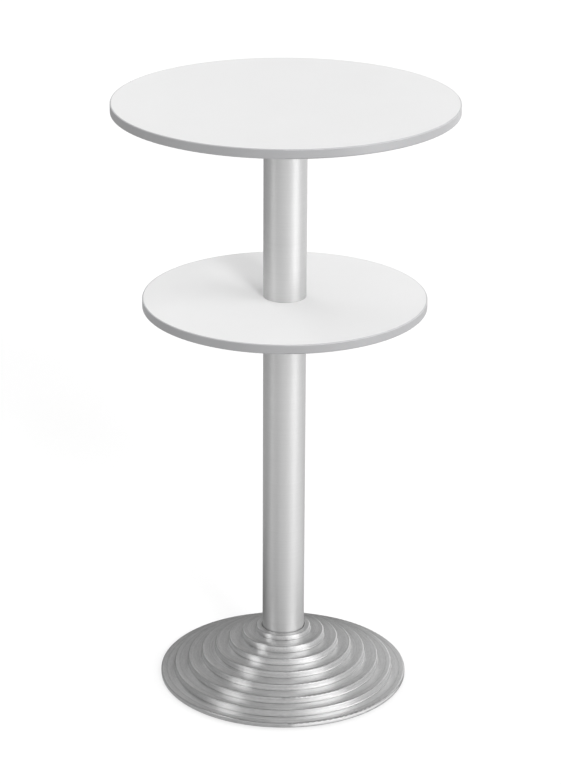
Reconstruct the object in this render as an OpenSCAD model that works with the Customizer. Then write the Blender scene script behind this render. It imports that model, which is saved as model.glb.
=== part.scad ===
// Bar table: a round upper board and a smaller shelf board on a tubular column with a stepped round base.
// Millimetres, +Z up. The origin is on the floor, on the column's axis.
// One tie rod runs through both column tubes and clamps the base, the shelf hub and the top plate together.
// Threads are plain cylinders at their major diameter.

/* [Boards] */
// Diameter of the upper board over its edge band
top_d = 600; // [500:10:800]
// Diameter of the shelf board over its edge band
shelf_d = 500; // [400:10:700]
// Thickness of the particle core in both boards
core_t = 15; // [14:0.2:24]
// Thickness of each laminate sheet
sheet_t = 0.7; // [0.5:0.1:1.5]
// Thickness of the edge band around both boards
band_t = 2; // [1:0.5:3]
// Rounding of the edge band's outer corners
band_round = 1.6; // [0.5:0.1:3]
// Glue line between a board and its edge band
glue_line = 0.1; // [0.05:0.05:0.2]

/* [Heights] */
// Height of the upper board's face above the floor
table_h = 1090; // [900:5:1250]
// Height of the shelf's face above the floor
shelf_h = 738; // [500:1:820]

/* [Column] */
// Outside diameter of both column tubes
column_d = 76; // [60:1:100]
// Wall thickness of the column tubes
column_wall = 3; // [2:0.5:5]
// Chamfer on the outer edge of the tube ends
column_chamfer = 0.5; // [0.2:0.1:1]
// Wall thickness of the centring sleeves inside the tubes
sleeve_wall = 5; // [3:0.5:8]
// Length of centring sleeve in each tube end
sleeve_l = 30; // [15:1:60]
// Radial gap between a centring sleeve and the tube around it
sleeve_gap = 0.2; // [0.1:0.05:0.5]
// Radial gap between the shelf hub's sleeve and the hole in the shelf
shelf_hole_gap = 0.4; // [0.2:0.1:1]

/* [Plates under the boards] */
// Diameter of the plate under the upper board
top_plate_d = 240; // [160:10:400]
// Thickness of the plate under the upper board
top_plate_t = 5; // [4:0.5:8]
// Distance from the top plate's edge to the centres of its screws
top_screw_inset = 20; // [12:1:40]
// Number of screws in the top plate
top_screw_count = 6; // [4:1:8]
// Diameter of the threaded boss under the top plate
boss_d = 30; // [26:1:40]
// Length of the threaded boss under the top plate
boss_l = 22; // [12:1:40]
// Diameter of the shelf hub's flange
flange_d = 160; // [140:5:220]
// Thickness of the shelf hub's flange
flange_t = 5; // [4:0.5:8]
// Distance from the flange's edge to the centres of its screws
flange_screw_inset = 17; // [10:1:24]
// Number of screws in the shelf hub's flange
flange_screw_count = 4; // [3:1:8]

/* [Wood screws] */
// Shank diameter of the wood screws
screw_d = 5; // [4:0.5:6]
// Length of screw inside the board
screw_bite = 13; // [8:1:14]
// Length of the screw's pointed end
screw_point = 3; // [1:0.5:5]
// Head diameter of the wood screws
screw_head_d = 9.6; // [8:0.2:12]
// Head height of the wood screws
screw_head_h = 3; // [2:0.2:4]
// Bevel around the crown of the screw heads
screw_head_bevel = 1.2; // [0.6:0.1:1.8]
// Radial clearance of the screw holes in the plates
screw_gap = 0.5; // [0.3:0.1:1]
// Width of the cross recess's arms
recess_w = 1.2; // [0.8:0.1:1.6]
// Depth of the cross recess
recess_depth = 1.6; // [1:0.1:1.8]

/* [Base] */
// Diameter of the base at its rim
base_d = 450; // [420:5:520]
// Height of the base's rim above the floor with the glides screwed in
rim_lift = 5; // [2:0.5:10]
// Height of the rim itself, which is the lowest step
rim_rise = 9; // [8:0.5:14]
// Number of wide steps below the collar, with the rim
step_count = 7; // [5:1:8]
// Height of each wide step above the rim
step_rise = 12.7; // [11:0.1:15]
// Height of the collar step around the column
collar_rise = 9.4; // [6:0.1:15]
// Width of the collar beyond the column
collar_w = 12; // [8:1:20]
// Rounding of each step's outer edge
step_round = 2.6; // [1:0.1:4]
// Fillet at the foot of each riser
step_fillet = 1.4; // [0.5:0.1:3]
// Rounding under the rim's outer edge
rim_round = 1.2; // [0.5:0.1:2]
// Wall thickness of the base casting
base_wall = 5; // [4:0.5:6]
// Depth of the column's seat in the base
seat_depth = 15; // [10:1:20]
// Thickness of metal under the column's seat
seat_floor = 8; // [5:0.5:12]
// Radial gap around the column in its seat
seat_gap = 0.3; // [0.2:0.1:0.6]
// Chamfer at the mouth of the seat
seat_chamfer = 1.6; // [0.5:0.1:3]
// Wall of the hub around the seat
hub_wall = 9; // [5:0.5:11]

/* [Ballast and clamp] */
// Gap between the ballast block and the casting around it
ballast_gap = 1; // [0.5:0.1:2]
// Diameter of the tie rod
rod_d = 16; // [12:1:18]
// Radial clearance of the plain holes around the tie rod
rod_gap = 1; // [0.5:0.1:2]
// Radial clearance of a threaded hole around its rod or stud
thread_gap = 0.05; // [0.02:0.01:0.08]
// Length of tie rod below its lower nut
rod_tail = 3; // [1:0.5:6]
// Distance from the tie rod's upper end to the top plate's face
rod_end_gap = 1; // [0.5:0.5:3]
// Width across flats of the tie rod's nuts
nut_flats = 24; // [22:1:30]
// Height of the tie rod's nuts
nut_h = 13; // [8:0.5:16]
// Diameter of the washer on the lower nut
washer_d = 30; // [28:1:44]
// Thickness of the washer on the lower nut
washer_t = 3; // [2:0.5:5]
// Diameter of the clamp plate under the ballast
clamp_d = 90; // [60:1:110]
// Thickness of the clamp plate under the ballast
clamp_t = 8; // [5:0.5:12]
// Radial gap around the clamp plate in the ballast's recess
clamp_gap = 3; // [1:0.5:6]

/* [Levelling glides] */
// Thread diameter of the glide studs
stud_d = 8; // [6:1:10]
// Distance from the stud's upper end to the insert's upper end
stud_end_gap = 1; // [0.5:0.5:2]
// Diameter of the glide pads
pad_d = 32; // [26:1:40]
// Thickness of the glide pads
pad_t = 4.5; // [4:0.5:7]
// Thickness of plastic under the stud in a glide pad
pad_floor = 1.5; // [1:0.1:2]
// Chamfer on the pad's upper edge
pad_chamfer = 1.5; // [0.5:0.1:2]
// Chamfer on the pad's lower edge
pad_sole_chamfer = 0.6; // [0.2:0.1:1]
// Play between a stud and its pad along the axis
pad_play = 0.2; // [0.1:0.05:0.3]
// Width across flats of the stud's hexagon
hex_flats = 14; // [13:1:19]
// Height of the stud's hexagon
hex_h = 3; // [2:0.5:5]
// Gap between the hexagon and the insert with the glide screwed in
stop_gap = 0.3; // [0.2:0.05:0.5]
// Diameter of the threaded inserts
insert_d = 14; // [13:0.5:18]
// Diameter of the flange on the inserts
insert_flange_d = 20; // [19:0.5:24]
// Thickness of the flange on the inserts
insert_flange_t = 1.5; // [1:0.1:2]
// Gap between an insert and the ballast cast around it
insert_gap = 0.1; // [0.05:0.05:0.3]
// Thickness of ballast above an insert
insert_cover = 1.5; // [1:0.1:3]
// Width of ballast between an insert's flange and the block's edge
insert_edge = 2; // [1:0.5:6]

/* [Hidden] */
$fn = 144;

// A cut reaches this far past the face that it opens
over = 1;

// Colours
board_white = [0.92, 0.92, 0.92];
band_grey = [0.66, 0.66, 0.68];
chip_brown = [0.72, 0.60, 0.43];
aluminium_grey = [0.78, 0.78, 0.79];
cast_grey = [0.66, 0.66, 0.67];
steel_grey = [0.55, 0.56, 0.58];
plate_black = [0.12, 0.12, 0.13];
concrete_grey = [0.55, 0.54, 0.52];
pad_black = [0.08, 0.08, 0.08];

// Boards
board_t = core_t + 2 * sheet_t;
top_under = table_h - board_t;
shelf_under = shelf_h - board_t;

// Column
column_r = column_d / 2;
tube_bore_r = column_r - column_wall;
sleeve_r = tube_bore_r - sleeve_gap;
sleeve_bore_r = sleeve_r - sleeve_wall;
shelf_hole_r = sleeve_r + shelf_hole_gap;
top_plate_under = top_under - top_plate_t;
flange_under = shelf_under - flange_t;
top_screw_ring_r = top_plate_d / 2 - top_screw_inset;
flange_screw_ring_r = flange_d / 2 - flange_screw_inset;

// Base steps, counted from 0 at the rim
base_r = base_d / 2;
collar_r = column_r + collar_w;
step_run = (base_r - collar_r) / step_count;
function step_r(k) = base_r - k * step_run;
function step_top(k) = rim_lift + rim_rise + k * step_rise;
collar_low = step_top(step_count - 1);
collar_top = collar_low + collar_rise;
seat_z = collar_top - seat_depth;
hub_under = seat_z - seat_floor;
hub_r = column_r + hub_wall;

// Ballast tiers, which follow the steps from the second one inwards
function ballast_r(k) = step_r(k) - base_wall - ballast_gap;
function ballast_top(k) = step_top(k) - base_wall - ballast_gap;

// Rod holes
rod_r = rod_d / 2;
rod_hole_r = rod_r + rod_gap;
rod_thread_r = rod_r + thread_gap;

// Glides, from the floor up
pad_socket_z = pad_floor;
stud_low = pad_socket_z + pad_play;
hex_low = pad_t + pad_play;
hex_top = hex_low + hex_h;
ballast_under = hex_top + stop_gap;
stud_r = stud_d / 2;
stud_thread_r = stud_r + thread_gap;
insert_top = ballast_top(1) - insert_cover;
stud_top = insert_top - stud_end_gap;
glide_ring_r = ballast_r(1) - insert_edge - insert_flange_d / 2;
glide_count = 4;
function glide_angle(n) = (n - 0.5) * 360 / glide_count;

// Clamp stack under the ballast, from the rod's lower end up
rod_low = ballast_under;
nut_low = rod_low + rod_tail;
washer_low = nut_low + nut_h;
clamp_low = washer_low + washer_t;
recess_top = clamp_low + clamp_t;
rod_top = top_under - rod_end_gap;
lock_nut_low = top_plate_under - boss_l - nut_h;

// Disc with a hole through it, standing on z_low
module ring(r, hole_r, z_low, z_high) {
    translate([0, 0, z_low])
        difference() {
            cylinder(r = r, h = z_high - z_low);
            translate([0, 0, -over])
                cylinder(r = hole_r, h = z_high - z_low + 2 * over);
        }
}

// Copies of a shape around the Z axis, the first one at angle start
module around(count, radius, start = 0) {
    for (i = [0 : count - 1])
        rotate([0, 0, start + i * 360 / count])
            translate([radius, 0, 0])
                children();
}

// Section of an edge band: inner wall straight, outer corners rounded
module band_section(r, z_low, z_high) {
    corner = min(band_round, band_t);
    height = z_high - z_low;
    translate([r - band_t, z_low]) {
        square([band_t - corner, height]);
        translate([0, corner])
            square([band_t, height - 2 * corner]);
    }
    intersection() {
        for (z = [z_low + corner, z_high - corner])
            translate([r - corner, z])
                circle(r = corner);
        translate([r - band_t, z_low])
            square([band_t, height]);
    }
}

module edge_band(d, under) {
    color(band_grey)
        rotate_extrude()
            band_section(d / 2, under, under + board_t);
}

// Holes for the wood screws in the underside of a board
module pilot_holes(count, ring_r, under) {
    around(count, ring_r, 180 / count)
        translate([0, 0, under - over])
            cylinder(r = screw_d / 2 + thread_gap, h = over + screw_bite + thread_gap);
}

// Wood screws driven up through a plate of thickness plate_t below a board
module wood_screws(count, ring_r, plate_t, under) {
    shank_l = plate_t + screw_bite - screw_point;
    head_r = screw_head_d / 2;
    color(steel_grey)
        around(count, ring_r, 180 / count)
            translate([0, 0, under - plate_t]) {
                difference() {
                    translate([0, 0, -screw_head_h]) {
                        cylinder(r1 = head_r - screw_head_bevel, r2 = head_r, h = screw_head_bevel);
                        translate([0, 0, screw_head_bevel])
                            cylinder(r = head_r, h = screw_head_h - screw_head_bevel);
                    }
                    for (turn = [0, 90])
                        rotate([0, 0, turn])
                            translate([-screw_d / 2, -recess_w / 2, -screw_head_h - over])
                                cube([screw_d, recess_w, recess_depth + over]);
                }
                cylinder(r = screw_d / 2, h = shank_l);
                translate([0, 0, shank_l])
                    cylinder(r1 = screw_d / 2, r2 = 0, h = screw_point);
            }
}

// Hexagon nut with a threaded hole
module hex_nut(flats, hole_r, z_low, height) {
    translate([0, 0, z_low])
        difference() {
            cylinder(r = flats / sqrt(3), h = height, $fn = 6);
            translate([0, 0, -over])
                cylinder(r = hole_r, h = height + 2 * over);
        }
}

// Column tube with a small chamfer on the outer edge of both ends
module column_tube(z_low, z_high) {
    color(aluminium_grey)
        difference() {
            union() {
                translate([0, 0, z_low])
                    cylinder(r1 = column_r - column_chamfer, r2 = column_r, h = column_chamfer);
                translate([0, 0, z_low + column_chamfer])
                    cylinder(r = column_r, h = z_high - z_low - 2 * column_chamfer);
                translate([0, 0, z_high - column_chamfer])
                    cylinder(r1 = column_r, r2 = column_r - column_chamfer, h = column_chamfer);
            }
            translate([0, 0, z_low - over])
                cylinder(r = tube_bore_r, h = z_high - z_low + 2 * over);
        }
}

// Upper board
module top_core() {
    color(chip_brown)
        difference() {
            translate([0, 0, top_under + sheet_t])
                cylinder(r = top_d / 2 - band_t - glue_line, h = core_t);
            pilot_holes(top_screw_count, top_screw_ring_r, top_under);
        }
}

module top_face_sheet() {
    color(board_white)
        translate([0, 0, table_h - sheet_t])
            cylinder(r = top_d / 2 - band_t - glue_line, h = sheet_t);
}

module top_back_sheet() {
    color(board_white)
        difference() {
            translate([0, 0, top_under])
                cylinder(r = top_d / 2 - band_t - glue_line, h = sheet_t);
            pilot_holes(top_screw_count, top_screw_ring_r, top_under);
        }
}

module top_edge_band() {
    edge_band(top_d, top_under);
}

// Plate under the upper board, with the threaded boss and the sleeve that centres the upper tube
module top_plate() {
    color(plate_black)
        difference() {
            union() {
                translate([0, 0, top_plate_under])
                    cylinder(r = top_plate_d / 2, h = top_plate_t);
                translate([0, 0, top_plate_under - boss_l])
                    cylinder(r = boss_d / 2, h = boss_l + over);
                ring(sleeve_r, sleeve_bore_r, top_plate_under - sleeve_l, top_plate_under + over);
            }
            translate([0, 0, top_plate_under - boss_l - over])
                cylinder(r = rod_thread_r, h = boss_l + top_plate_t + 2 * over);
            around(top_screw_count, top_screw_ring_r, 180 / top_screw_count)
                translate([0, 0, top_plate_under - over])
                    cylinder(r = screw_d / 2 + screw_gap, h = top_plate_t + 2 * over);
        }
}

module top_screws() {
    wood_screws(top_screw_count, top_screw_ring_r, top_plate_t, top_under);
}

module rod_lock_nut() {
    color(steel_grey)
        hex_nut(nut_flats, rod_thread_r, lock_nut_low, nut_h);
}

module upper_column() {
    column_tube(shelf_h, top_plate_under);
}

// Shelf board, with a hole for the hub's sleeve
module shelf_disc(z_low, z_high) {
    ring(shelf_d / 2 - band_t - glue_line, shelf_hole_r, z_low, z_high);
}

module shelf_core() {
    color(chip_brown)
        difference() {
            shelf_disc(shelf_under + sheet_t, shelf_h - sheet_t);
            pilot_holes(flange_screw_count, flange_screw_ring_r, shelf_under);
        }
}

module shelf_face_sheet() {
    color(board_white)
        shelf_disc(shelf_h - sheet_t, shelf_h);
}

module shelf_back_sheet() {
    color(board_white)
        difference() {
            shelf_disc(shelf_under, shelf_under + sheet_t);
            pilot_holes(flange_screw_count, flange_screw_ring_r, shelf_under);
        }
}

module shelf_edge_band() {
    edge_band(shelf_d, shelf_under);
}

// Flange under the shelf, with one long sleeve that centres both tubes
module shelf_hub() {
    color(plate_black)
        difference() {
            union() {
                translate([0, 0, flange_under])
                    cylinder(r = flange_d / 2, h = flange_t);
                translate([0, 0, flange_under - sleeve_l])
                    cylinder(r = sleeve_r, h = shelf_h - flange_under + 2 * sleeve_l);
            }
            translate([0, 0, flange_under - sleeve_l - over])
                cylinder(r = sleeve_bore_r, h = shelf_h - flange_under + 2 * (sleeve_l + over));
            around(flange_screw_count, flange_screw_ring_r, 180 / flange_screw_count)
                translate([0, 0, flange_under - over])
                    cylinder(r = screw_d / 2 + screw_gap, h = flange_t + 2 * over);
        }
}

module shelf_screws() {
    wood_screws(flange_screw_count, flange_screw_ring_r, flange_t, shelf_under);
}

module lower_column() {
    column_tube(seat_z, flange_under);
}

module tie_rod() {
    color(steel_grey)
        translate([0, 0, rod_low])
            cylinder(r = rod_r, h = rod_top - rod_low);
}

// Section of one step: a rounded outer edge and a fillet at its foot
module step_section(r, z_low, z_high) {
    square_h = z_high - z_low;
    translate([0, z_low]) {
        square([r, square_h - step_round]);
        square([r - step_round, square_h]);
    }
    translate([r - step_round, z_high - step_round])
        circle(r = step_round);
    translate([r, z_low])
        difference() {
            square(step_fillet);
            translate([step_fillet, step_fillet])
                circle(r = step_fillet);
        }
}

// Section of the rim's step, rounded above and below
module rim_section() {
    translate([0, rim_lift]) {
        square([base_r - rim_round, rim_rise - step_round]);
        square([base_r - step_round, rim_rise]);
        translate([0, rim_round])
            square([base_r, rim_rise - step_round - rim_round]);
        translate([base_r - rim_round, rim_round])
            circle(r = rim_round);
        translate([base_r - step_round, rim_rise - step_round])
            circle(r = step_round);
    }
}

module base_casting() {
    color(cast_grey)
        rotate_extrude()
            difference() {
                union() {
                    difference() {
                        union() {
                            rim_section();
                            for (k = [1 : step_count - 1])
                                step_section(step_r(k), step_top(k - 1), step_top(k));
                            step_section(collar_r, collar_low, collar_top);
                        }
                        for (k = [0 : step_count - 1])
                            translate([0, rim_lift - over])
                                square([step_r(k) - base_wall, over + step_top(k) - base_wall - rim_lift]);
                    }
                    translate([0, hub_under])
                        square([hub_r, collar_low - hub_under]);
                }
                translate([0, seat_z])
                    square([column_r + seat_gap, seat_depth + over]);
                translate([0, hub_under - over])
                    square([rod_hole_r, seat_floor + 2 * over]);
                polygon([
                    [0, collar_top - seat_chamfer],
                    [column_r + seat_gap, collar_top - seat_chamfer],
                    [column_r + seat_gap + seat_chamfer, collar_top],
                    [column_r + seat_gap + seat_chamfer, collar_top + over],
                    [0, collar_top + over]
                ]);
            }
}

// Threaded insert with a flange at its mouth; grow makes the pocket that it sits in
module insert_body(grow = 0) {
    translate([0, 0, ballast_under])
        cylinder(r = insert_d / 2 + grow, h = insert_top - ballast_under + grow);
    translate([0, 0, ballast_under])
        cylinder(r = insert_flange_d / 2 + grow, h = insert_flange_t + grow);
}

// Concrete block that fills the casting from the second step inwards
module ballast_block() {
    color(concrete_grey)
        difference() {
            for (k = [1 : step_count - 1])
                translate([0, 0, ballast_under])
                    cylinder(r = ballast_r(k), h = ballast_top(k) - ballast_under);
            translate([0, 0, hub_under])
                cylinder(r = hub_r + ballast_gap, h = collar_low);
            translate([0, 0, ballast_under - over])
                cylinder(r = clamp_d / 2 + clamp_gap, h = recess_top - ballast_under + over);
            translate([0, 0, ballast_under])
                cylinder(r = rod_hole_r, h = hub_under - ballast_under + over);
            around(glide_count, glide_ring_r, glide_angle(1)) {
                insert_body(insert_gap);
                translate([0, 0, ballast_under - over])
                    cylinder(r = insert_flange_d / 2 + insert_gap, h = 2 * over);
            }
        }
}

module clamp_plate() {
    color(steel_grey)
        ring(clamp_d / 2, rod_hole_r, clamp_low, clamp_low + clamp_t);
}

module rod_washer() {
    color(steel_grey)
        ring(washer_d / 2, rod_hole_r, washer_low, washer_low + washer_t);
}

module rod_nut() {
    color(steel_grey)
        hex_nut(nut_flats, rod_thread_r, nut_low, nut_h);
}

module glide_inserts() {
    color(steel_grey)
        around(glide_count, glide_ring_r, glide_angle(1))
            difference() {
                insert_body();
                translate([0, 0, ballast_under - over])
                    cylinder(r = stud_thread_r, h = insert_top - ballast_under + 2 * over);
            }
}

// Foot of glide n, with the socket that the stud turns in
module glide_pad(n) {
    color(pad_black)
        rotate([0, 0, glide_angle(n)])
            translate([glide_ring_r, 0, 0])
                difference() {
                    union() {
                        cylinder(r1 = pad_d / 2 - pad_sole_chamfer, r2 = pad_d / 2, h = pad_sole_chamfer);
                        translate([0, 0, pad_sole_chamfer])
                            cylinder(r = pad_d / 2, h = pad_t - pad_sole_chamfer - pad_chamfer);
                        translate([0, 0, pad_t - pad_chamfer])
                            cylinder(r1 = pad_d / 2, r2 = pad_d / 2 - pad_chamfer, h = pad_chamfer);
                    }
                    translate([0, 0, pad_socket_z])
                        cylinder(r = stud_thread_r, h = pad_t);
                }
}

// Threaded stud of glide n, with the hexagon that a spanner turns
module glide_stud(n) {
    color(steel_grey)
        rotate([0, 0, glide_angle(n)])
            translate([glide_ring_r, 0, 0]) {
                translate([0, 0, stud_low])
                    cylinder(r = stud_r, h = stud_top - stud_low);
                translate([0, 0, hex_low])
                    cylinder(r = hex_flats / sqrt(3), h = hex_h, $fn = 6);
            }
}

top_core();
top_face_sheet();
top_back_sheet();
top_edge_band();
top_plate();
top_screws();
rod_lock_nut();
upper_column();
shelf_core();
shelf_face_sheet();
shelf_back_sheet();
shelf_edge_band();
shelf_hub();
shelf_screws();
lower_column();
tie_rod();
base_casting();
ballast_block();
clamp_plate();
rod_washer();
rod_nut();
glide_inserts();
glide_pad(1);  // glide_pad_1
glide_pad(2);  // glide_pad_2
glide_pad(3);  // glide_pad_3
glide_pad(4);  // glide_pad_4
glide_stud(1);  // glide_stud_1
glide_stud(2);  // glide_stud_2
glide_stud(3);  // glide_stud_3
glide_stud(4);  // glide_stud_4
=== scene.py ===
"""Bar table: finishes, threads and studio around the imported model.

Laid out as an add-on and run as a script.
"""

import math

import bmesh
import bpy
from bpy.props import FloatProperty, FloatVectorProperty, IntProperty, PointerProperty
from bpy.types import Operator, Panel, PropertyGroup
from mathutils import Matrix, Vector


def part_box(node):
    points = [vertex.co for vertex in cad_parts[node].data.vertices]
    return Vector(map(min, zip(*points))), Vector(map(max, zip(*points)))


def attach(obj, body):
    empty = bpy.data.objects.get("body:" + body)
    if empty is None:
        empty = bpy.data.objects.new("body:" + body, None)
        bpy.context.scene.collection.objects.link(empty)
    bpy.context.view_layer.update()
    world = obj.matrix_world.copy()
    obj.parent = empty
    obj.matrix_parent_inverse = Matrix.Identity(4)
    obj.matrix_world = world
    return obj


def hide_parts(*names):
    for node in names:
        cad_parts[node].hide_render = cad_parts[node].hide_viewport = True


bl_info = {
    "name": "Bar Table",
    "version": (1, 0, 0),
    "blender": (4, 5, 0),
    "location": "3D View > Sidebar > Bar Table",
    "description": "Finishes, threads and studio of a round bar table with a shelf and a stepped base",
    "category": "Object",
}

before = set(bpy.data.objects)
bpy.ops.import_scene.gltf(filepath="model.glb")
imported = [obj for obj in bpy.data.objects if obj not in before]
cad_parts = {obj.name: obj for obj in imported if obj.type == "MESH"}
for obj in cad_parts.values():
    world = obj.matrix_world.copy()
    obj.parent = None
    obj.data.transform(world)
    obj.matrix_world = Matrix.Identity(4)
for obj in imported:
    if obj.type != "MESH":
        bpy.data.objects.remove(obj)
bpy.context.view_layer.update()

# Where the pieces of one kind stand in the frame
GLIDES = range(1, 5)
SHEETS = ("top_face_sheet", "top_back_sheet", "shelf_face_sheet", "shelf_back_sheet")
CORES = ("top_core", "shelf_core")
EDGE_BANDS = ("top_edge_band", "shelf_edge_band")
COLUMN_TUBES = ("upper_column", "lower_column")
COATED_PLATES = ("top_plate", "shelf_hub")
ZINC_NODES = ("top_screws", "shelf_screws", "clamp_plate", "rod_washer", "glide_inserts")

# Gap between a rod's thread and the nut on it
THREAD_GAP = 0.00005
# Corners around the rod, and around a glide stud
ROD_STEPS = 48
STUD_STEPS = 36
# How far the shade painted into the metal reaches out of a tight corner
PAINTED_SHADE_REACH = 0.0035

# Photograph's frame
PHOTO_HEIGHT = 784
SENSOR = 36.0

# Lamps: azimuth to the right of the camera, elevation and apparent width, in degrees
LAMPS = {
    "key": (22.0, 30.0, 13.0),
    "side": (72.0, 8.0, 60.0),
    "back": (-140.0, 12.0, 60.0),
}
# Upright cards that the metal mirrors: azimuth in degrees, distance, half width, lower and upper edge
STRIPS = {
    "right_strip": (57.0, 3.2, 0.9, 0.0, 3.3),
    "high_strip": (34.0, 3.1, 0.6, 1.5, 3.6),
    "left_strip": (-63.0, 3.3, 0.65, 1.5, 4.4),
    "front_strip": (0.0, 3.3, 1.9, 1.1, 1.7),
    "low_strip": (-66.0, 3.3, 0.45, 0.0, 1.5),
    "right_card": (148.0, 3.0, 1.75, 0.0, 1.9),
    "back_card": (-166.5, 2.6, 1.02, 0.0, 4.4),
    "high_card": (-158.0, 2.5, 0.46, 1.4, 2.5),
}
# Cards on the floor that the metal mirrors: azimuth and half spread in degrees, near and far edge, and
# the share of their width that they lose towards both ends
WEDGES = {
    "side_floor": (72.0, 44.0, 0.34, 1.1, 0.0),
    "rim_floor": (38.0, 34.0, 0.228, 0.3, 0.98),
    "front_floor": (0.0, 26.0, 0.3, 1.9, 0.0),
    "foot_floor": (-66.0, 8.0, 0.32, 3.2, 0.0),
    # The dark card on the floor at the left is a painted shadow that the rim mirrors.
    "painted_left_shadow": (-125.0, 26.0, 0.228, 0.6, 0.0),
}
FLOOR_RADIUS = 14.0
# The round floor card is a painted shadow: a dark disc under the base that stands in for the table's contact
# shadow in the rim's reflection.
PAINTED_SHADOW_RADIUS = 0.36
PAINTED_SHADOW_LIFT = 0.004
WEDGE_LIFT = 0.006
WEDGE_PARTS = 12
LAMP_DISTANCE = 5.0


class TableSizes(PropertyGroup):
    """Sizes of the details that the finishes and threads add."""

    rod_pitch: FloatProperty(
        name="Rod pitch",
        description="Thread pitch of the tie rod and its nuts",
        default=0.002,
        unit="LENGTH",
    )
    stud_pitch: FloatProperty(
        name="Stud pitch",
        description="Thread pitch of the glide studs",
        default=0.00125,
        unit="LENGTH",
    )
    rod_thread: FloatProperty(
        name="Rod thread",
        description="Length of thread at each end of the tie rod",
        default=0.06,
        unit="LENGTH",
    )
    turned_line: FloatProperty(
        name="Turned lines",
        description="Spacing of the lines that turning leaves on the base",
        default=0.0016,
        unit="LENGTH",
    )
    drawn_line: FloatProperty(
        name="Column lines",
        description="Spacing of the fine lines that run round the column",
        default=0.0006,
        unit="LENGTH",
    )
    seam: FloatProperty(
        name="Band seam",
        description="Width of the seam where an edge band's ends meet, at the back",
        default=0.0004,
        unit="LENGTH",
    )
    stud_radius: FloatProperty(
        name="Stud radius",
        description="Outer radius of the thread on the glide studs",
        default=0.004,
        unit="LENGTH",
    )
    hexagon_flats: FloatProperty(
        name="Hexagon flats",
        description="Width across the flats of the glide studs' hexagon",
        default=0.014,
        unit="LENGTH",
    )
    hexagon_height: FloatProperty(
        name="Hexagon height",
        description="Height of the glide studs' hexagon",
        default=0.003,
        unit="LENGTH",
    )
    pad_play: FloatProperty(
        name="Pad play",
        description="Gap between a glide pad and the hexagon above it",
        default=0.0002,
        unit="LENGTH",
    )
    end_chamfer: FloatProperty(
        name="End chamfer",
        description="Chamfer on the end of a stud and at the mouth of a nut's hole",
        default=0.0007,
        unit="LENGTH",
    )


def colour(name, description, default):
    """A colour that a user can change."""
    return FloatVectorProperty(
        name=name,
        description=description,
        default=default,
        subtype="COLOR",
        min=0.0,
        max=1.0,
    )


class TableColours(PropertyGroup):
    """Colours of the finishes."""

    laminate: colour("Laminate", "White laminate of both boards", (0.83, 0.83, 0.83))
    edging: colour("Edging", "Grey edge bands of both boards", (0.32, 0.32, 0.327))
    column: colour("Column", "Satin anodised column", (0.60, 0.60, 0.60))
    base: colour("Base", "Turned aluminium base", (0.70, 0.70, 0.70))
    coating: colour("Coating", "Powder coat of the hidden plates", (0.022, 0.022, 0.024))
    zinc: colour("Zinc", "Zinc-plated steel", (0.52, 0.54, 0.57))
    bloom: colour("Bloom", "Faint yellow bloom on the zinc", (0.62, 0.58, 0.45))
    chip_light: colour("Light chips", "Light chips of the board cores", (0.62, 0.47, 0.30))
    chip_dark: colour("Dark chips", "Dark chips of the board cores", (0.33, 0.22, 0.12))
    concrete: colour("Concrete", "Ballast in the base", (0.36, 0.35, 0.33))
    nylon: colour("Nylon", "Black pads of the glides", (0.015, 0.015, 0.016))


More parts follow.
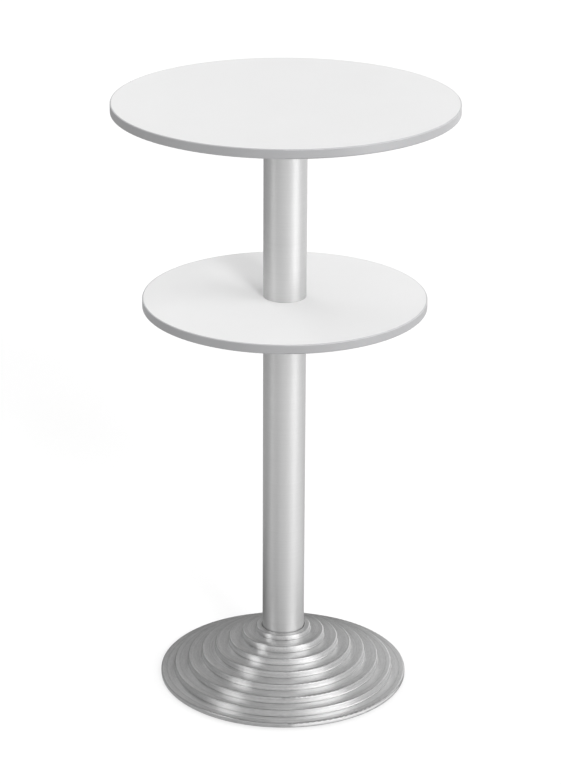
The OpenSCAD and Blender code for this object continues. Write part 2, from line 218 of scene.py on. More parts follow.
class StudioSettings(PropertyGroup):
    """Camera and light."""

    distance: FloatProperty(
        name="Distance",
        description="Distance of the camera from the column's axis",
        default=4.378,
        unit="LENGTH",
    )
    height: FloatProperty(
        name="Height",
        description="Height of the camera above the floor",
        default=2.2641,
        unit="LENGTH",
    )
    pitch: FloatProperty(
        name="Pitch",
        description="Angle that the camera looks down at",
        default=math.radians(21.303),
        subtype="ANGLE",
    )
    turn: FloatProperty(
        name="Turn",
        description="Angle that the camera is turned to the right",
        default=math.radians(-0.089),
        subtype="ANGLE",
    )
    roll: FloatProperty(
        name="Roll",
        description="Angle that the camera leans",
        default=math.radians(-0.266),
        subtype="ANGLE",
    )
    focal_pixels: FloatProperty(
        name="Focal length",
        description="Focal length in pixels of the photograph",
        default=2643.0,
    )
    key: FloatProperty(
        name="Key light",
        description="Strength of the small light that casts the column's shadow on the shelf",
        default=0.42,
    )
    side: FloatProperty(
        name="Side light",
        description="Strength of the broad low light at the right",
        default=0.74,
    )
    back: FloatProperty(
        name="Back light",
        description="Strength of the broad low light behind at the left",
        default=0.42,
    )
    sky: FloatProperty(
        name="Surrounding light",
        description="Strength of the even light from all sides",
        default=0.62,
    )
    right_strip: FloatProperty(
        name="Right strip",
        description="Brightness of the strip that the metal mirrors at the right",
        default=3.0,
    )
    left_strip: FloatProperty(
        name="Left strip",
        description="Brightness of the strip that the metal mirrors at the left",
        default=3.4,
    )
    low_strip: FloatProperty(
        name="Low strip",
        description="Brightness of the low strip that the column mirrors at the left",
        default=0.95,
    )
    front_strip: FloatProperty(
        name="Front strip",
        description="Brightness of the wide strip in front that the base's risers mirror",
        default=1.6,
    )
    high_strip: FloatProperty(
        name="High strip",
        description="Brightness of the high strip that the base mirrors in front at the right",
        default=3.2,
    )
    right_card: FloatProperty(
        name="Right card",
        description="Brightness of the card that the metal mirrors behind at the right",
        default=1.24,
    )
    back_card: FloatProperty(
        name="Back card",
        description="Brightness of the card that the metal mirrors behind",
        default=0.26,
    )
    high_card: FloatProperty(
        name="High card",
        description="Brightness of the high card behind that the base mirrors at the left",
        default=1.15,
    )
    # Painted shadow: the round dark card under the base stands in for the floor's contact shadow that the rim
    # mirrors.
    painted_floor_shadow: FloatProperty(
        name="Floor card",
        description="Brightness of the round card that the base's rim mirrors under it",
        default=0.38,
    )
    side_floor: FloatProperty(
        name="Side floor card",
        description="Brightness of the card on the floor that the column's foot mirrors at the right",
        default=1.2,
    )
    rim_floor: FloatProperty(
        name="Rim floor card",
        description="Brightness of the card on the floor that the rim mirrors in front at the right",
        default=1.1,
    )
    front_floor: FloatProperty(
        name="Front floor card",
        description="Brightness of the card on the floor that the column mirrors in front",
        default=0.9,
    )
    foot_floor: FloatProperty(
        name="Foot floor card",
        description="Brightness of the card on the floor that the column mirrors at the left",
        default=0.9,
    )
    # Painted shadow: the dark card on the floor at the left stands in for the floor's shadow there, as the
    # rim mirrors it.
    painted_left_shadow: FloatProperty(
        name="Left floor card",
        description="Brightness of the card on the floor that the rim mirrors at the left",
        default=0.12,
    )
    room_radius: FloatProperty(
        name="Room radius",
        description="Radius of the grey room that the metal mirrors",
        default=3.6,
        unit="LENGTH",
    )
    room_height: FloatProperty(
        name="Room height",
        description="Height of the grey room that the metal mirrors",
        default=4.6,
        unit="LENGTH",
    )
    room_floor: FloatVectorProperty(
        name="Room floor",
        description="Brightness of the room's floor, and how much it gains at the right and in front",
        default=(0.69, 0.34, 0.05),
    )
    room_wall: FloatVectorProperty(
        name="Room wall",
        description="Brightness of the room's wall, and how much it gains at the right and in front",
        default=(1.04, 0.32, 0.32),
    )
    room_ceiling: FloatVectorProperty(
        name="Room ceiling",
        description="Brightness of the room's ceiling, and how much it gains at the right and in front",
        default=(0.15, 0.15, 0.0),
    )
    floor_shade: FloatProperty(
        name="Floor shade",
        description="How much of the floor's white is its own reflected light, which the shadow darkens",
        default=0.35,
        subtype="FACTOR",
        min=0.0,
        max=1.0,
    )
    floor_bounce: FloatProperty(
        name="Floor bounce",
        description="Strength of the even light that the floor throws back up, also under the base",
        default=0.84,
    )
    floor_steps: IntProperty(
        name="Floor steps",
        description="Corners around the round floor",
        default=96,
    )


# Nodes


def place(tree, kind, inputs=None, **settings):
    """Adds a node with its settings, and sets or links its inputs."""
    node = tree.nodes.new(kind)
    for name, value in settings.items():
        setattr(node, name, value)
    for name, value in (inputs or {}).items():
        if isinstance(value, bpy.types.NodeSocket):
            tree.links.new(value, node.inputs[name])
        else:
            node.inputs[name].default_value = value
    return node


def math_node(tree, operation, *values, clamp=False):
    """The result of one sum on numbers or sockets."""
    node = place(tree, "ShaderNodeMath", dict(enumerate(values)), operation=operation, use_clamp=clamp)
    return node.outputs[0]


def between(tree, value, low, high, to_low=0.0, to_high=1.0):
    """The value's place between two limits, carried over to two others."""
    limits = {"Value": value, "From Min": low, "From Max": high, "To Min": to_low, "To Max": to_high}
    return place(tree, "ShaderNodeMapRange", limits).outputs["Result"]


def mixed(tree, factor, first, second):
    """A colour between two others."""
    mix = place(tree, "ShaderNodeMix", data_type="RGBA")
    for index, value in ((0, factor), (6, first), (7, second)):
        if isinstance(value, bpy.types.NodeSocket):
            tree.links.new(value, mix.inputs[index])
        else:
            mix.inputs[index].default_value = value
    return mix.outputs[2]


def rgba(colour_value, shade=1.0):
    """A colour with alpha, made lighter or darker."""
    return (*(min(1.0, shade * c) for c in colour_value), 1.0)


def new_group(name, inputs, outputs):
    """An empty shader group with float sockets, and its input and output nodes."""
    tree = bpy.data.node_groups.new(name, "ShaderNodeTree")
    for socket, value in inputs.items():
        tree.interface.new_socket(socket, in_out="INPUT", socket_type="NodeSocketFloat").default_value = value
    for socket in outputs:
        tree.interface.new_socket(socket, in_out="OUTPUT", socket_type="NodeSocketFloat")
    return tree, tree.nodes.new("NodeGroupInput"), tree.nodes.new("NodeGroupOutput")


def object_point(tree):
    """The point of the surface in the frame."""
    return tree.nodes.new("ShaderNodeTexCoord").outputs["Object"]


def build_lines_group():
    """Lines that run round the vertical axis, as turning and grinding leave them."""
    tree, given, result = new_group("Lines round the axis", {"Spacing": 0.001, "Dashes": 9.0, "Seed": 0.0},
                                    ("Height", "Shade", "Dash"))
    split = place(tree, "ShaderNodeSeparateXYZ", {0: object_point(tree)})
    flat = place(tree, "ShaderNodeCombineXYZ", {0: split.outputs[0], 1: split.outputs[1]})
    radius = place(tree, "ShaderNodeVectorMath", {0: flat.outputs[0]}, operation="LENGTH").outputs["Value"]
    across = math_node(tree, "DIVIDE", radius, given.outputs["Spacing"])
    along = math_node(tree, "DIVIDE", split.outputs[2], given.outputs["Spacing"])
    point = place(tree, "ShaderNodeCombineXYZ", {0: across, 1: along, 2: given.outputs["Seed"]})
    fine = place(tree, "ShaderNodeTexNoise", {"Vector": point.outputs[0], "Scale": 1.0, "Detail": 2.0})
    broad = place(tree, "ShaderNodeTexNoise", {"Vector": point.outputs[0], "Scale": 0.25, "Detail": 1.0})
    tree.links.new(fine.outputs["Fac"], result.inputs["Height"])
    shade = math_node(tree, "ADD", math_node(tree, "MULTIPLY", fine.outputs["Fac"], 0.45),
                      math_node(tree, "MULTIPLY", broad.outputs["Fac"], 0.55))
    tree.links.new(shade, result.inputs["Shade"])
    turn = math_node(tree, "ARCTAN2", split.outputs[0], math_node(tree, "MULTIPLY", split.outputs[1], -1.0))
    round_way = math_node(tree, "MULTIPLY", turn, given.outputs["Dashes"])
    short = place(tree, "ShaderNodeCombineXYZ", {0: across, 1: along, 2: round_way})
    dash = place(tree, "ShaderNodeTexNoise", {"Vector": short.outputs[0], "Scale": 1.0, "Detail": 2.0})
    tree.links.new(between(tree, dash.outputs["Fac"], 0.3, 0.7), result.inputs["Dash"])
    return tree


def build_grain_group():
    """Fine speckle, as moulding, coating and pressing leave it."""
    tree, given, result = new_group("Fine grain", {"Size": 0.001, "Softness": 0.5}, ("Height", "Speckle"))
    scaled = place(tree, "ShaderNodeVectorMath", {0: object_point(tree)}, operation="SCALE")
    tree.links.new(math_node(tree, "DIVIDE", 1.0, given.outputs["Size"]), scaled.inputs["Scale"])
    noise = place(tree, "ShaderNodeTexNoise", {"Vector": scaled.outputs[0], "Scale": 1.0, "Detail": 3.0})
    tree.links.new(given.outputs["Softness"], noise.inputs["Roughness"])
    tree.links.new(noise.outputs["Fac"], result.inputs["Height"])
    tree.links.new(between(tree, noise.outputs["Fac"], 0.35, 0.65), result.inputs["Speckle"])
    return tree


def build_handling_group():
    """Broad soft patches where hands and cloths change the sheen."""
    tree, given, result = new_group("Handling", {"Size": 0.12}, ("Patch", "Smear"))
    scaled = place(tree, "ShaderNodeVectorMath", {0: object_point(tree)}, operation="SCALE")
    tree.links.new(math_node(tree, "DIVIDE", 1.0, given.outputs["Size"]), scaled.inputs["Scale"])
    patch = place(tree, "ShaderNodeTexNoise", {"Vector": scaled.outputs[0], "Scale": 1.0, "Detail": 2.0})
    smear = place(tree, "ShaderNodeTexNoise",
                  {"Vector": scaled.outputs[0], "Scale": 3.1, "Detail": 4.0, "Distortion": 0.8})
    tree.links.new(between(tree, patch.outputs["Fac"], 0.3, 0.7), result.inputs["Patch"])
    tree.links.new(between(tree, smear.outputs["Fac"], 0.3, 0.7), result.inputs["Smear"])
    return tree


def shared(name):
    """The node group of that name, built when it is first asked for."""
    builders = {
        "Lines round the axis": build_lines_group,
        "Fine grain": build_grain_group,
        "Handling": build_handling_group,
    }
    return bpy.data.node_groups.get(name) or builders[name]()


def use_group(tree, name, **inputs):
    """A shared group in a material, with its values."""
    node = tree.nodes.new("ShaderNodeGroup")
    node.node_tree = shared(name)
    for socket, value in inputs.items():
        node.inputs[socket].default_value = value
    return node.outputs


def new_material(name, **uniform):
    """A material with one Principled shader, whose uniform values are set on its sockets."""
    material = bpy.data.materials.new(name)
    material.use_nodes = True
    tree = material.node_tree
    shader = tree.nodes["Principled BSDF"]
    for socket, value in uniform.items():
        shader.inputs[socket.replace("_", " ").title().replace("Ior", "IOR")].default_value = value
    return material, tree, shader


def bump(tree, shader, height, strength, distance):
    """Relief from a height, in metres at full height."""
    node = place(tree, "ShaderNodeBump", {"Height": height, "Strength": strength, "Distance": distance})
    tree.links.new(node.outputs[0], shader.inputs["Normal"])


def feed(tree, shader, **sockets):
    """Links values that change over the surface to the shader."""
    for name, value in sockets.items():
        tree.links.new(value, shader.inputs[name.replace("_", " ").title()])


# Finishes


def laminate_finish(colours):
    """White laminate: nearly even, with a pearl texture and a sheen that cloths have changed a little."""
    material, tree, shader = new_material("White laminate")
    grain = use_group(tree, "Fine grain", Size=0.0006, Softness=0.4)
    touch = use_group(tree, "Handling", Size=0.17)
    tone = between(tree, touch["Patch"], 0.0, 1.0, 0.35, 0.65)
    feed(tree, shader,
         base_color=mixed(tree, tone, rgba(colours.laminate, 0.985), rgba(colours.laminate, 1.012)),
         roughness=between(tree, touch["Smear"], 0.0, 1.0, 0.52, 0.6))
    bump(tree, shader, grain["Height"], 0.25, 0.00003)
    return material


def edging_finish(colours, sizes):
    """Grey edge band: a painted highlight on its upper rounded corner, painted shade on the lower one, and a
    seam at the back.
    """
    material, tree, shader = new_material("Grey edging")
    lines = use_group(tree, "Lines round the axis", Spacing=0.0005, Seed=3.0)
    touch = use_group(tree, "Handling", Size=0.09)
    point = place(tree, "ShaderNodeSeparateXYZ", {0: object_point(tree)}).outputs
    off_seam = math_node(tree, "ABSOLUTE", point[0])
    seam = math_node(tree, "MULTIPLY", between(tree, off_seam, 0.5 * sizes.seam, sizes.seam, 1.0, 0.0),
                     math_node(tree, "GREATER_THAN", point[1], 0.0))
    facing = place(tree, "ShaderNodeSeparateXYZ",
                   {0: tree.nodes.new("ShaderNodeTexCoord").outputs["Normal"]}).outputs[2]
    # Painted highlight on the corner that is rounded upwards, and painted shade on the corner that is rounded
    # downwards: which way the surface faces lightens or darkens the colour.
    above = between(tree, facing, 0.1, 0.75)
    below = between(tree, facing, -0.1, -0.75)
    shade = math_node(tree, "ADD", math_node(tree, "MULTIPLY", lines["Shade"], 0.5),
                      math_node(tree, "MULTIPLY", touch["Patch"], 0.5))
    plain = mixed(tree, shade, rgba(colours.edging, 0.95), rgba(colours.edging, 1.05))
    upper = mixed(tree, above, plain, rgba(colours.edging, 1.6))
    rounded = mixed(tree, below, upper, rgba(colours.edging, 0.85))
    feed(tree, shader,
         base_color=mixed(tree, seam, rounded, rgba(colours.edging, 0.3)),
         roughness=between(tree, touch["Smear"], 0.0, 1.0, 0.3, 0.42))
    height = math_node(tree, "SUBTRACT", math_node(tree, "MULTIPLY", lines["Height"], 0.2), seam)
    bump(tree, shader, height, 0.5, 0.00006)
    return material


def turned_metal(name, base_colour, spacing, contrast, roughness, relief, anisotropy, dashes, edge):
    """Aluminium with lines round the axis, which spread its highlights, and short glints along them.

    On rounded edges and in tight corners the colour falls to the edge's share of it, as painted shade.
    """
    material, tree, shader = new_material(name, metallic=1.0, anisotropic=anisotropy,
                                          anisotropic_rotation=0.25)
    lines = use_group(tree, "Lines round the axis", Spacing=spacing, Dashes=dashes)
    touch = use_group(tree, "Handling", Size=0.11)
    tangent = place(tree, "ShaderNodeTangent", direction_type="RADIAL", axis="Z")
    tree.links.new(tangent.outputs[0], shader.inputs["Tangent"])
    rough = math_node(tree, "ADD", between(tree, lines["Dash"], 0.0, 1.0, roughness[0], roughness[1]),
                      between(tree, touch["Patch"], 0.0, 1.0, -0.015, 0.015))
    shade = math_node(tree, "ADD", math_node(tree, "MULTIPLY", between(tree, lines["Shade"], 0.3, 0.7), 0.7),
                      math_node(tree, "MULTIPLY", lines["Dash"], 0.3))
    # Painted shade: ambient occlusion darkens tight corners, and the surface's slope darkens rounded crests
    # and fillets, down to the edge's share of the colour.
    open_sky = place(tree, "ShaderNodeAmbientOcclusion", {"Distance": PAINTED_SHADE_REACH}, samples=8).outputs["AO"]
    facing = place(tree, "ShaderNodeSeparateXYZ",
                   {0: tree.nodes.new("ShaderNodeTexCoord").outputs["Normal"]}).outputs[2]
    off_wall = between(tree, facing, 0.05, 0.3)
    off_level = between(tree, facing, 0.85, 0.99, 1.0, 0.0)
    flat = math_node(tree, "SUBTRACT", 1.0, math_node(tree, "MULTIPLY", off_wall, off_level))
    clear = math_node(tree, "MULTIPLY", between(tree, open_sky, 0.4, 0.95), flat)
    unshaded = mixed(tree, shade, rgba(base_colour, 1.0 - contrast), rgba(base_colour, 1.0 + contrast))
    feed(tree, shader,
         base_color=mixed(tree, clear, rgba(base_colour, edge), unshaded),
         roughness=rough)
    height = math_node(tree, "ADD", lines["Height"], math_node(tree, "MULTIPLY", lines["Dash"], 0.6))
    bump(tree, shader, height, 0.6, relief)
    return material


def column_finish(colours, sizes):
    """Satin anodised tube."""
    # edge: the share of the colour that the painted shade leaves in tight corners and on rounded edges
    return turned_metal("Satin anodised aluminium", colours.column, spacing=sizes.drawn_line, contrast=0.04,
                        roughness=(0.46, 0.51), relief=0.000004, anisotropy=0.5, dashes=30.0, edge=0.9)


def base_finish(colours, sizes):
    """Turned and lacquered casting, with coarser lines than the column's."""
    # edge: the share of the colour that the painted shade leaves in tight corners and on rounded edges
    return turned_metal("Turned aluminium", colours.base, spacing=sizes.turned_line, contrast=0.26,
                        roughness=(0.29, 0.41), relief=0.00003, anisotropy=0.6, dashes=20.0, edge=0.72)


def coating_finish(colours):
    """Black powder coat with its orange-peel texture."""
    material, tree, shader = new_material("Black powder coat")
    grain = use_group(tree, "Fine grain", Size=0.0014, Softness=0.55)
    touch = use_group(tree, "Handling", Size=0.06)
    feed(tree, shader,
         base_color=mixed(tree, touch["Smear"], rgba(colours.coating, 0.85), rgba(colours.coating, 1.35)),
         roughness=between(tree, grain["Speckle"], 0.0, 1.0, 0.42, 0.55))
    bump(tree, shader, grain["Height"], 0.7, 0.00012)
    return material


def zinc_finish(colours):
    """Zinc plating with its faint cloudy bloom."""
    material, tree, shader = new_material("Zinc plating", metallic=1.0)
    grain = use_group(tree, "Fine grain", Size=0.0008, Softness=0.6)
    touch = use_group(tree, "Handling", Size=0.012)
    cool = mixed(tree, touch["Patch"], rgba(colours.zinc, 0.86), rgba(colours.zinc, 1.08))
    bloom = math_node(tree, "MULTIPLY", touch["Smear"], 0.25)
    feed(tree, shader,
         base_color=mixed(tree, bloom, cool, rgba(colours.bloom)),
         roughness=between(tree, grain["Speckle"], 0.0, 1.0, 0.28, 0.42))
    bump(tree, shader, grain["Height"], 0.4, 0.00003)
    return material


def chipboard_finish(colours):
    """Pressed chips of several tones."""
    material, tree, shader = new_material("Chipboard")
    grain = use_group(tree, "Fine grain", Size=0.0012, Softness=0.7)
    chips = place(tree, "ShaderNodeTexVoronoi", {"Vector": object_point(tree), "Scale": 380.0})
    tone = place(tree, "ShaderNodeSeparateColor", {0: chips.outputs["Color"]}).outputs[0]
    flakes = mixed(tree, tone, rgba(colours.chip_dark), rgba(colours.chip_light))
    feed(tree, shader,
         base_color=mixed(tree, grain["Speckle"], flakes, rgba(colours.chip_light, 0.85)),
         roughness=between(tree, tone, 0.0, 1.0, 0.7, 0.9))
    bump(tree, shader, chips.outputs["Distance"], 0.6, 0.0003)
    return material


def concrete_finish(colours):
    """Cast concrete with cloudy tones and small pores."""
    material, tree, shader = new_material("Ballast concrete")
    grain = use_group(tree, "Fine grain", Size=0.0018, Softness=0.65)
    touch = use_group(tree, "Handling", Size=0.045)
    pores = place(tree, "ShaderNodeTexVoronoi", {"Vector": object_point(tree), "Scale": 150.0})
    pore = between(tree, pores.outputs["Distance"], 0.12, 0.2, 1.0, 0.0)
    stone = mixed(tree, touch["Smear"], rgba(colours.concrete, 0.8), rgba(colours.concrete, 1.15))
    feed(tree, shader,
         base_color=mixed(tree, pore, stone, rgba(colours.concrete, 0.45)),
         roughness=between(tree, grain["Speckle"], 0.0, 1.0, 0.78, 0.94))
    bump(tree, shader, math_node(tree, "SUBTRACT", grain["Height"], pore), 0.8, 0.0005)
    return material


def nylon_finish(colours):
    """Moulded nylon with a dull grain, scuffed a little."""
    material, tree, shader = new_material("Black nylon")
    grain = use_group(tree, "Fine grain", Size=0.0005, Softness=0.6)
    touch = use_group(tree, "Handling", Size=0.01)
    feed(tree, shader,
         base_color=mixed(tree, touch["Smear"], rgba(colours.nylon), rgba(colours.nylon, 2.2)),
         roughness=between(tree, grain["Speckle"], 0.0, 1.0, 0.45, 0.6))
    bump(tree, shader, grain["Height"], 0.5, 0.00005)
    return material


# Meshes


def lathe(name, rings, capped=True):
    """A mesh object with walls between rings of equally many points; its ends are capped, or joined."""
    form = bmesh.new()
    rows = [[form.verts.new(point) for point in ring] for ring in rings]
    steps = len(rows[0])
    pairs = list(zip(rows, rows[1:])) + ([] if capped else [(rows[-1], rows[0])])
    for low, high in pairs:
        for i in range(steps):
            j = (i + 1) % steps
            form.faces.new((low[i], low[j], high[j], high[i]))
    if capped:
        form.faces.new(reversed(rows[0]))
        form.faces.new(rows[-1])
    bmesh.ops.recalc_face_normals(form, faces=form.faces)
    mesh = bpy.data.meshes.new(name)
    form.to_mesh(mesh)
    form.free()
    mesh.shade_smooth()
    mesh.set_sharp_from_angle(angle=math.radians(28.0))
    piece = bpy.data.objects.new(name, mesh)
    bpy.context.scene.collection.objects.link(piece)
    return piece


def turns(steps):
    """Angles of equally many steps around the axis."""
    return [math.tau * i / steps for i in range(steps)]


def circle_ring(radius, z, steps):
    """Points of a level circle."""
    return [Vector((radius * math.cos(a), radius * math.sin(a), z)) for a in turns(steps)]


def hexagon_radius(angle, flats):
    """Distance from a hexagon's middle to its side at an angle, with a corner at 0."""
    sector = math.pi / 3
    return 0.5 * flats / math.cos(angle % sector - sector / 2)


def hexagon_rings(flats, z_low, z_high, steps):
    """Rings of a hexagon whose corners are chamfered above and below, as a nut's are."""
    rim = 0.5 * flats * 0.985
    slope = math.tan(math.radians(30.0))
    low, high = [], []
    for a in turns(steps):
        r = hexagon_radius(a, flats)
        drop = slope * max(0.0, r - rim)
        low.append(Vector((r * math.cos(a), r * math.sin(a), z_low + drop)))
        high.append(Vector((r * math.cos(a), r * math.sin(a), z_high - drop)))
    return [circle_ring(rim, z_low, steps), low, high, circle_ring(rim, z_high, steps)]


def thread_rings(radius, pitch, z_low, z_high, steps):
    """Rings of a right-hand screw thread that runs out into a chamfer at both ends."""
    depth = 0.6 * pitch
    crest, root = 0.14, 0.22
    rows = 8
    count = max(2, round((z_high - z_low) / pitch * rows))
    rings = []
    for k in range(count + 1):
        z = z_low + (z_high - z_low) * k / count
        from_end = min(z - z_low, z_high - z)
        ring = []
        for a in turns(steps):
            phase = abs(((z / pitch - a / math.tau) % 1.0) * 2.0 - 1.0)
            cut = min(1.0, max(0.0, (phase - crest) / (1.0 - crest - root)))
            r = min(radius - depth * cut, radius - depth + from_end)
            ring.append(Vector((r * math.cos(a), r * math.sin(a), z)))
        rings.append(ring)
    return rings


def add_piece(piece, body, material, slot, *nodes):
    """Puts a new piece on its body, in place of its nodes."""
    piece.data.materials.append(material)
    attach(piece, body)
    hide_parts(*nodes)
    return piece


def dress(material, *nodes):
    """Gives CAD nodes their finish."""
    for node in nodes:
        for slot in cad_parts[node].material_slots:
            slot.material = material


def material_once(name, make, *values):
    """The finish of that name, made when it is first asked for."""
    return bpy.data.materials.get(name) or make(*values)


# Operators


class TableOperator:
    """What the table's operators share."""

    bl_options = {"REGISTER", "UNDO"}

    @property
    def colours(self):
        return bpy.context.scene.bar_table_colours

    @property
    def sizes(self):
        return bpy.context.scene.bar_table_sizes


class BAR_TABLE_OT_boards(TableOperator, Operator):
    """Finish the laminate sheets and chipboard cores of both boards"""

    bl_idname = "bar_table.boards"
    bl_label = "Boards"

    def execute(self, context):
        dress(laminate_finish(self.colours), *SHEETS)
        dress(chipboard_finish(self.colours), *CORES)
        return {"FINISHED"}


class BAR_TABLE_OT_edge_bands(TableOperator, Operator):
    """Finish the grey edge bands of both boards"""

    bl_idname = "bar_table.edge_bands"
    bl_label = "Edge bands"

    def execute(self, context):
        dress(edging_finish(self.colours, self.sizes), *EDGE_BANDS)
        return {"FINISHED"}


class BAR_TABLE_OT_column(TableOperator, Operator):
    """Finish the two column tubes"""

    bl_idname = "bar_table.column"
    bl_label = "Column"

    def execute(self, context):
        dress(column_finish(self.colours, self.sizes), *COLUMN_TUBES)
        return {"FINISHED"}


class BAR_TABLE_OT_base(TableOperator, Operator):
    """Finish the stepped base and the ballast inside it"""

    bl_idname = "bar_table.base"
    bl_label = "Base"

    def execute(self, context):
        dress(base_finish(self.colours, self.sizes), "base_casting")
        dress(concrete_finish(self.colours), "ballast_block")
        return {"FINISHED"}


class BAR_TABLE_OT_plates(TableOperator, Operator):
    """Finish the plates under the boards and the zinc-plated small parts"""

    bl_idname = "bar_table.plates"
    bl_label = "Plates and screws"

    def execute(self, context):
        dress(coating_finish(self.colours), *COATED_PLATES)
        dress(material_once("Zinc plating", zinc_finish, self.colours), *ZINC_NODES)
        return {"FINISHED"}


class BAR_TABLE_OT_tie_rod(TableOperator, Operator):
    """Make the tie rod with its threaded ends and its two chamfered nuts"""

    bl_idname = "bar_table.tie_rod"
    bl_label = "Tie rod and nuts"

    def execute(self, context):
        zinc = material_once("Zinc plating", zinc_finish, self.colours)
        low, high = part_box("tie_rod")
        pitch, thread = self.sizes.rod_pitch, self.sizes.rod_thread
        rings = thread_rings(high.x, pitch, low.z, low.z + thread, ROD_STEPS)
        rings += thread_rings(high.x, pitch, high.z - thread, high.z, ROD_STEPS)
        add_piece(lathe("threaded_tie_rod", rings), "table", zinc, "zinc_steel", "tie_rod")
        bore = high.x + THREAD_GAP
        chamfer = self.sizes.end_chamfer
        for node in ("rod_nut", "rod_lock_nut"):
            low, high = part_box(node)
            flats = 2.0 * min(high.x, high.y)
            rings = hexagon_rings(flats, low.z, high.z, 2 * ROD_STEPS)
            for radius, z in ((bore + chamfer, high.z), (bore, high.z - chamfer),
                              (bore, low.z + chamfer), (bore + chamfer, low.z)):
                rings.append(circle_ring(radius, z, 2 * ROD_STEPS))
            add_piece(lathe("chamfered_" + node, rings, capped=False), "table", zinc, "zinc_steel", node)
        return {"FINISHED"}


class BAR_TABLE_OT_glides(TableOperator, Operator):
    """Finish the glide pads, and make their studs with hexagons and threads"""

    bl_idname = "bar_table.glides"
    bl_label = "Glides"

    def execute(self, context):
        zinc = material_once("Zinc plating", zinc_finish, self.colours)
        nylon = nylon_finish(self.colours)
        for n in GLIDES:
            dress(nylon, f"glide_pad_{n}")
            node = f"glide_stud_{n}"
            low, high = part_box(node)
            middle = 0.5 * (low + high)
            pad_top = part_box(f"glide_pad_{n}")[1].z
            radius, chamfer = self.sizes.stud_radius, self.sizes.end_chamfer
            hex_low = pad_top + self.sizes.pad_play
            hex_high = hex_low + self.sizes.hexagon_height
            foot = ((radius - chamfer, low.z), (radius, low.z + chamfer), (radius, hex_low))
            rings = [circle_ring(r, z, STUD_STEPS) for r, z in foot]
            rings += hexagon_rings(self.sizes.hexagon_flats, hex_low, hex_high, STUD_STEPS)
            rings += thread_rings(radius, self.sizes.stud_pitch, hex_high, high.z, STUD_STEPS)
            piece = lathe(f"threaded_stud_{n}", rings)
            turn = Matrix.Rotation(math.radians(90.0 * n - 45.0), 4, "Z")
            piece.data.transform(Matrix.Translation((middle.x, middle.y, 0.0)) @ turn)
            add_piece(piece, f"stud_{n}", zinc, "zinc_steel", node)
        return {"FINISHED"}


class BAR_TABLE_OT_studio(Operator):
    """Set up the floor, the surroundings, the lights and the camera"""

    bl_idname = "bar_table.studio"
    bl_label = "Studio"
    bl_options = {"REGISTER", "UNDO"}

    def execute(self, context):
        studio = context.scene.bar_table_studio
        context.scene.view_settings.view_transform = "Standard"
        make_floor(studio)
        make_surroundings(context.scene, studio)
        for name, position in LAMPS.items():
            make_lamp(name, getattr(studio, name), *position)
        make_room(studio)
        # A dark round card under the base, a painted shadow that the rim mirrors.
        painted_floor_shadow = round_mesh("painted_floor_shadow", PAINTED_SHADOW_RADIUS, studio.floor_steps, PAINTED_SHADOW_LIFT)
        add_card(painted_floor_shadow, studio.painted_floor_shadow)
        for name, position in STRIPS.items():
            make_strip(name, getattr(studio, name), *position)
        for name, position in WEDGES.items():
            make_wedge(name, getattr(studio, name), *position)
        make_camera(context.scene, studio)
        return {"FINISHED"}


def seen_directly(tree):
    """1 where the camera, a reflection or a see-through surface looks at a surface, else 0."""
    path = tree.nodes.new("ShaderNodeLightPath").outputs
    mirrored = math_node(tree, "MAXIMUM", path["Is Glossy Ray"], path["Is Transmission Ray"])
    return math_node(tree, "MAXIMUM", path["Is Camera Ray"], mirrored)


def round_mesh(name, radius, steps, z):
    """A level disc."""
    mesh = bpy.data.meshes.new(name)
    mesh.from_pydata(circle_ring(radius, z, steps), [], [tuple(range(steps))])
    return mesh


def make_floor(studio):
    """A round pale floor that shows white with the table's soft shadow, and is clear from below."""
    mesh = round_mesh("floor", FLOOR_RADIUS, studio.floor_steps, 0.0)
    floor = bpy.data.objects.new("floor", mesh)
    bpy.context.scene.collection.objects.link(floor)
    material = bpy.data.materials.new("Studio floor")
    material.use_nodes = True
    tree = material.node_tree
    tree.nodes.clear()
    bounce = place(tree, "ShaderNodeEmission", {"Strength": studio.floor_bounce})
    shade = studio.floor_shade
    shadowed = place(tree, "ShaderNodeBsdfDiffuse", {"Color": (shade, shade, shade, 1.0)})
    glow = place(tree, "ShaderNodeEmission", {"Strength": 1.03 - shade})
    white = place(tree, "ShaderNodeAddShader", {0: shadowed.outputs[0], 1: glow.outputs[0]})
    face = place(tree, "ShaderNodeMixShader",
                 {0: seen_directly(tree), 1: bounce.outputs[0], 2: white.outputs[0]})
    clear = place(tree, "ShaderNodeBsdfTransparent")
    below = tree.nodes.new("ShaderNodeNewGeometry").outputs["Backfacing"]
    both = place(tree, "ShaderNodeMixShader", {0: below, 1: face.outputs[0], 2: clear.outputs[0]})
    place(tree, "ShaderNodeOutputMaterial", {"Surface": both.outputs[0]})
    mesh.materials.append(material)


def make_surroundings(scene, studio):
    """An even white studio around the table."""
    world = bpy.data.worlds.new("Studio")
    world.use_nodes = True
    tree = world.node_tree
    tree.nodes.clear()
    lighting = place(tree, "ShaderNodeBackground", {"Color": (1.0, 1.0, 1.0, 1.0), "Strength": studio.sky})
    backdrop = place(tree, "ShaderNodeBackground", {"Color": (1.0, 1.0, 1.0, 1.0), "Strength": 1.0})
    mix = place(tree, "ShaderNodeMixShader",
                {0: seen_directly(tree), 1: lighting.outputs[0], 2: backdrop.outputs[0]})
    place(tree, "ShaderNodeOutputWorld", {"Surface": mix.outputs[0]})
    scene.world = world


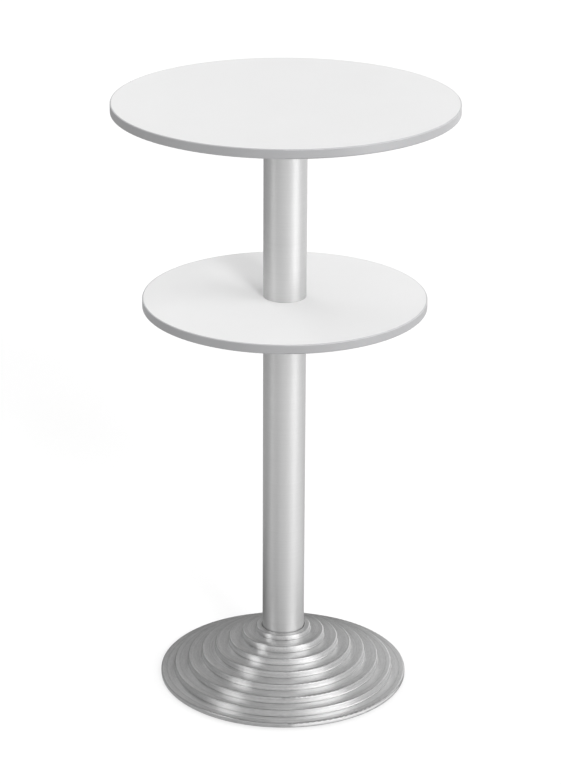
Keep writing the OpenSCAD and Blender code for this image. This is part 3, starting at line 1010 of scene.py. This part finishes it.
def make_lamp(name, strength, azimuth, elevation, width):
    """A far soft light that shines towards the table."""
    data = bpy.data.lights.new(name, "SUN")
    data.energy = math.pi * strength
    data.angle = math.radians(width)
    lamp = bpy.data.objects.new(name, data)
    a, e = math.radians(azimuth), math.radians(elevation)
    to_lamp = Vector((math.sin(a) * math.cos(e), -math.cos(a) * math.cos(e), math.sin(e)))
    lamp.rotation_euler = to_lamp.to_track_quat("Z", "Y").to_euler()
    lamp.location = LAMP_DISTANCE * to_lamp
    lamp.visible_glossy = False
    bpy.context.scene.collection.objects.link(lamp)


def add_card(mesh, strength):
    """Puts up a card that only reflections show; its strength is a number, or is made from its nodes."""
    card = bpy.data.objects.new(mesh.name, mesh)
    bpy.context.scene.collection.objects.link(card)
    material = bpy.data.materials.new(mesh.name)
    material.use_nodes = True
    tree = material.node_tree
    tree.nodes.clear()
    glow = place(tree, "ShaderNodeEmission", {"Strength": strength(tree) if callable(strength) else strength})
    place(tree, "ShaderNodeOutputMaterial", {"Surface": glow.outputs[0]})
    mesh.materials.append(material)
    card.visible_camera = False
    card.visible_diffuse = False
    card.visible_transmission = False
    card.visible_shadow = False


def make_strip(name, brightness, azimuth, distance, half_width, z_low, z_high):
    """An upright card that faces the table, as a photographer's strip light does."""
    a = math.radians(azimuth)
    middle = Vector((math.sin(a), -math.cos(a), 0.0)) * distance
    side = Vector((math.cos(a), math.sin(a), 0.0)) * half_width
    low, high = Vector((0.0, 0.0, z_low)), Vector((0.0, 0.0, z_high))
    mesh = bpy.data.meshes.new(name)
    corners = [middle - side + low, middle + side + low, middle + side + high, middle - side + high]
    mesh.from_pydata(corners, [], [(0, 1, 2, 3)])
    add_card(mesh, brightness)


def make_wedge(name, brightness, azimuth, spread, near, far, taper):
    """A card on the floor, between two distances from the column's axis, that may narrow to its ends."""
    shares = [2.0 * i / WEDGE_PARTS - 1.0 for i in range(WEDGE_PARTS + 1)]
    angles = [math.radians(azimuth + spread * share) for share in shares]
    ways = [Vector((math.sin(a), -math.cos(a), 0.0)) for a in angles]
    lift = Vector((0.0, 0.0, WEDGE_LIFT))
    reach = [near + (far - near) * (1.0 - taper * share * share) for share in shares]
    outline = [near * way + lift for way in ways]
    outline += [r * way + lift for r, way in zip(reversed(reach), reversed(ways))]
    mesh = bpy.data.meshes.new(name)
    mesh.from_pydata(outline, [], [tuple(range(len(outline)))])
    add_card(mesh, brightness)


def make_room(studio):
    """A round grey room that only reflections show; its floor, wall and ceiling are brighter on one side."""
    form = bmesh.new()
    radius, height = studio.room_radius, studio.room_height
    bmesh.ops.create_cone(form, cap_ends=True, segments=studio.floor_steps, radius1=radius, radius2=radius,
                          depth=height)
    bmesh.ops.translate(form, verts=form.verts, vec=(0.0, 0.0, 0.5 * height + 0.002))
    mesh = bpy.data.meshes.new("grey_room")
    form.to_mesh(mesh)
    form.free()

    def strength(tree):
        point = object_point(tree)
        z = place(tree, "ShaderNodeSeparateXYZ", {0: point}).outputs[2]

        def level(values):
            middle, right, front = values
            slope = place(tree, "ShaderNodeVectorMath", {0: point, 1: (right / radius, -front / radius, 0.0)},
                          operation="DOT_PRODUCT")
            return math_node(tree, "ADD", slope.outputs["Value"], middle)

        def rise(low, high, z_low, z_high):
            share = between(tree, z, z_low, z_high)
            return math_node(tree, "ADD", low,
                             math_node(tree, "MULTIPLY", share, math_node(tree, "SUBTRACT", high, low)))

        wall = rise(level(studio.room_floor), level(studio.room_wall), 0.05 * height, 0.28 * height)
        return rise(wall, level(studio.room_ceiling), 0.42 * height, 0.72 * height)

    add_card(mesh, strength)


def make_camera(scene, studio):
    """The camera at the photograph's place."""
    data = bpy.data.cameras.new("camera")
    data.sensor_width = SENSOR
    data.lens = studio.focal_pixels / PHOTO_HEIGHT * SENSOR
    camera = bpy.data.objects.new("camera", data)
    pitch, turn = studio.pitch, studio.turn
    ahead = Vector((math.sin(turn) * math.cos(pitch), math.cos(turn) * math.cos(pitch), -math.sin(pitch)))
    level = Vector((math.cos(turn), -math.sin(turn), 0.0))
    down = ahead.cross(level)
    right = math.cos(studio.roll) * level + math.sin(studio.roll) * down
    up = ahead.cross(right) * -1.0
    look = Matrix((right, up, -ahead)).transposed().to_4x4()
    camera.matrix_world = Matrix.Translation((0.0, -studio.distance, studio.height)) @ look
    scene.collection.objects.link(camera)
    scene.camera = camera


STEPS = (
    BAR_TABLE_OT_studio,
    BAR_TABLE_OT_boards,
    BAR_TABLE_OT_edge_bands,
    BAR_TABLE_OT_column,
    BAR_TABLE_OT_base,
    BAR_TABLE_OT_plates,
    BAR_TABLE_OT_tie_rod,
    BAR_TABLE_OT_glides,
)
GROUPS = {
    "bar_table_sizes": TableSizes,
    "bar_table_colours": TableColours,
    "bar_table_studio": StudioSettings,
}


class BAR_TABLE_PT_panel(Panel):
    """Lists the table's steps and settings"""

    bl_idname = "BAR_TABLE_PT_panel"
    bl_label = "Bar Table"
    bl_space_type = "VIEW_3D"
    bl_region_type = "UI"
    bl_category = "Bar Table"

    def draw(self, context):
        layout = self.layout
        for step in STEPS:
            layout.operator(step.bl_idname)
        for name in GROUPS:
            settings = getattr(context.scene, name)
            box = layout.box()
            for prop in settings.bl_rna.properties:
                if prop.identifier not in {"rna_type", "name"}:
                    box.prop(settings, prop.identifier)


def register():
    for cls in (*GROUPS.values(), *STEPS, BAR_TABLE_PT_panel):
        bpy.utils.register_class(cls)
    for name, group in GROUPS.items():
        setattr(bpy.types.Scene, name, PointerProperty(type=group))


def unregister():
    for name in GROUPS:
        delattr(bpy.types.Scene, name)
    for cls in reversed((*GROUPS.values(), *STEPS, BAR_TABLE_PT_panel)):
        bpy.utils.unregister_class(cls)


def main():
    register()
    for step in STEPS:
        space, call = step.bl_idname.split(".")
        getattr(getattr(bpy.ops, space), call)()


if __name__ == "__main__":
    main()
